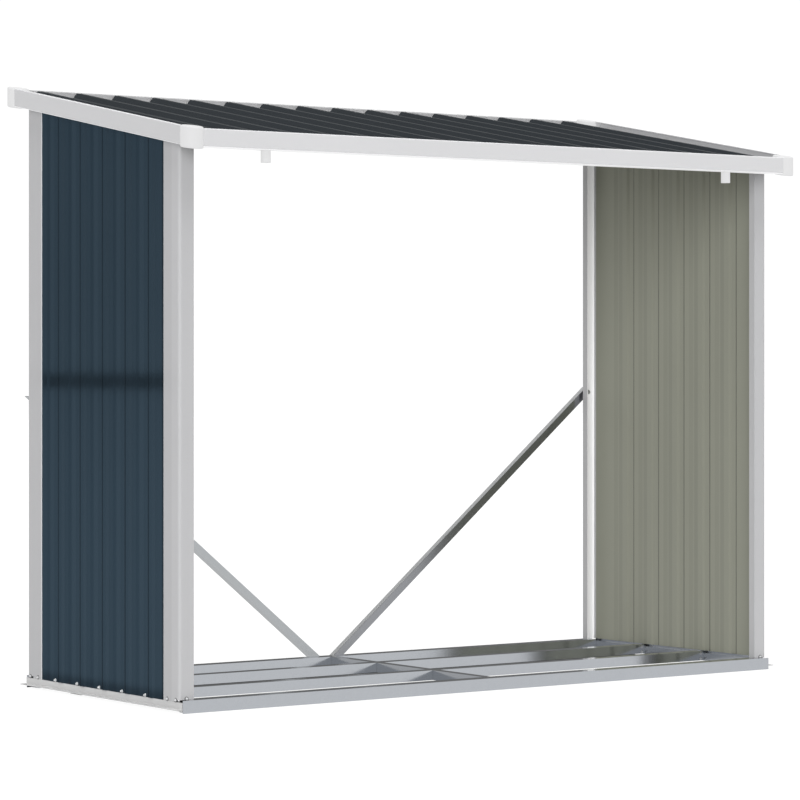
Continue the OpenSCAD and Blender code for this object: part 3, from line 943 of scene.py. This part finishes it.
# %% Screws and bolts
WALL_SCREWS = 5
WALL_SCREW_PITCH = 0.1343
WALL_SCREW_FIRST = -0.2435
WALL_RIB_HEIGHT = 0.005
FOOT_SCREW_Z = 0.0375
LEG_SCREW_Z = 0.0415
SIDE_LEG_STEPS = (0.0195, 0.0665)
FRONT_LEG_STEP = 0.0250
RAIL_SCREW_STEP = 0.010
RAIL_SCREW_HEIGHTS = (0.0135, 0.031)
SHEET = 0.002
BRACE_FOOT_X = 0.026
BRACE_FOOT_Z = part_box("rail_back")[1][2] / 2
WALL_SCREW_SIZES = {"Washer_Radius": 0.0052, "Head_Height": 0.0045}
POST_WASHER_SIZES = {"Washer_Radius": 0.0068, "Washer_Height": 0.0008,
                     "Head_Radius": 0.0030, "Head_Height": 0.0002}
BOLT_SIZES = {"Washer_Radius": 0.0085, "Head_Radius": 0.0062, "Head_Height": 0.0055, "Head_Sides": 6}


def mirrored(places):
    """Adds the reflection of every place in the middle plane."""
    other = [((-x, y, z), (-dx, dy, dz)) for (x, y, z), (dx, dy, dz) in places]
    return places + other


def wall_foot_places():
    """One screw in each pan along the foot of the left wall."""
    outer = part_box("wall_left")[0][0] + WALL_RIB_HEIGHT
    return [((outer, WALL_SCREW_FIRST + n * WALL_SCREW_PITCH, FOOT_SCREW_Z), LEFT)
            for n in range(WALL_SCREWS)]


def post_foot_places():
    """Side-leg and end-leg screws of the two left posts."""
    places = []
    for node, end in (("post_front_left", -1), ("post_back_left", 1)):
        low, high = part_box(node)
        edge = low[1] if end < 0 else high[1]
        for step in SIDE_LEG_STEPS:
            places.append(((low[0], edge - end * step, FOOT_SCREW_Z), LEFT))
        places.append(((low[0] + FRONT_LEG_STEP, edge, LEG_SCREW_Z), (0.0, float(end), 0.0)))
    return places


def rail_end_places():
    """Two screws at the outer end of each left middle rail, front and back."""
    places = []
    for node in ("rail_mid_front_left", "rail_mid_back_left"):
        low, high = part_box(node)
        x = low[0] + RAIL_SCREW_STEP
        for height in RAIL_SCREW_HEIGHTS:
            places.append(((x, low[1], height), FRONT))
            places.append(((x, high[1], height), BACK))
    return places


def brace_places():
    """The bolt at each end of the left brace, and the nut inside the post."""
    spacer_low, spacer_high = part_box("spacer_left")
    x = (spacer_low[0] + spacer_high[0]) / 2
    z = (spacer_low[2] + spacer_high[2]) / 2
    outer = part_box("brace_left")[0][1] + SHEET
    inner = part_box("post_back_left")[1][1] - SHEET
    return [((x, outer, z), BACK), ((x, inner, z), FRONT), ((-BRACE_FOOT_X, outer, BRACE_FOOT_Z), BACK)]


add_fixings("wall_foot_screws", mirrored(wall_foot_places()), screw_bright, "galvanised_steel",
            **WALL_SCREW_SIZES)
add_fixings("post_foot_washers", mirrored(post_foot_places()), washer_rubber, "galvanised_steel",
            **POST_WASHER_SIZES)
add_fixings("post_foot_screws", mirrored(post_foot_places()), screw_bright, "galvanised_steel")
add_fixings("rail_end_screws", mirrored(rail_end_places()), screw_zinc, "galvanised_steel")
add_fixings("brace_bolts", mirrored(brace_places()), screw_zinc, "galvanised_steel", **BOLT_SIZES)

# %% [markdown]
# Two kinds of plain strip are still wanted. Both are boxes, so one small function makes a mesh
# from eight corners each. The first is a second narrow leg along the upper edge of the right
# brace; two vectors, along the brace and square to it, give its corners.

# %% Brace leg
BRACE_HALF = 0.0125
BRACE_OVER = 0.012
BRACE_LEG = 0.022
BOX_FACES = ((0, 1, 3, 2), (4, 6, 7, 5), (0, 4, 5, 1), (2, 3, 7, 6), (0, 2, 6, 4), (1, 5, 7, 3))


def add_boxes(name, boxes, finish):
    """One mesh of boxes, each given by eight corners: end by end, level by level, side by side."""
    shape = bmesh.new()
    for corners in boxes:
        points = [shape.verts.new(corner) for corner in corners]
        for face in BOX_FACES:
            shape.faces.new([points[n] for n in face])
    bmesh.ops.recalc_face_normals(shape, faces=shape.faces)
    mesh = bpy.data.meshes.new(name)
    shape.to_mesh(mesh)
    shape.free()
    mesh.materials.append(finish)
    piece = bpy.data.objects.new(name, mesh)
    scene.collection.objects.link(piece)
    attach(piece, "root")
    print(name, "boxes:", len(boxes))


def brace_leg():
    """The corners of the strip behind the upper edge of the right brace."""
    (x, outer, z), _ = brace_places()[0]
    foot = Vector((BRACE_FOOT_X, 0.0, BRACE_FOOT_Z))
    head = Vector((-x, 0.0, z))
    along = (head - foot).normalized()
    upward = Vector((-along.z, 0.0, along.x))
    return [end + upward * lift + Vector((0.0, y, 0.0))
            for end in (foot - along * BRACE_OVER, head + along * BRACE_OVER)
            for lift in (BRACE_HALF - SHEET, BRACE_HALF)
            for y in (outer, outer + BRACE_LEG)]


add_boxes("brace_upper_leg", [brace_leg()], leg_zinc)

# %% [markdown]
# The second kind is a thin lap over each joint of the roof sheets, which keeps light from
# shining through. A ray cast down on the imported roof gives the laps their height, so they stay on
# the sheet if the pitch is changed.

# %% Roof laps
LAP_HALF = 0.007
LAP_LIFTS = (0.0002, 0.0008)
LAP_CLEAR = 0.004
RAY_START = 3.0
DOWN = Vector((0.0, 0.0, -1.0))


def roof_height(sheet, x, y):
    """The upper face of a packed roof sheet, found with a ray cast down on it."""
    mesh = nodes[sheet].data
    surface = BVHTree.FromPolygons([v.co for v in mesh.vertices], [p.vertices for p in mesh.polygons])
    return surface.ray_cast(Vector((x, y, RAY_START)), DOWN)[0].z


def roof_lap(left, right):
    """The corners of the strip over the joint between two roof sheets."""
    joint = (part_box(left)[1][0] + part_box(right)[0][0]) / 2
    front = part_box("gutter_back")[1][1] + LAP_CLEAR
    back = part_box("trim_back")[0][1] - LAP_CLEAR
    corners = []
    for y in (front, back):
        top = roof_height(left, joint - LAP_HALF, y)
        corners += [(x, y, top + lift) for lift in LAP_LIFTS for x in (joint - LAP_HALF, joint + LAP_HALF)]
    return corners


sheets = sorted(name for name in nodes if name.startswith("roof"))
laps = [roof_lap(left, right) for left, right in zip(sheets, sheets[1:])]
add_boxes("roof_laps", laps, roof_coat)
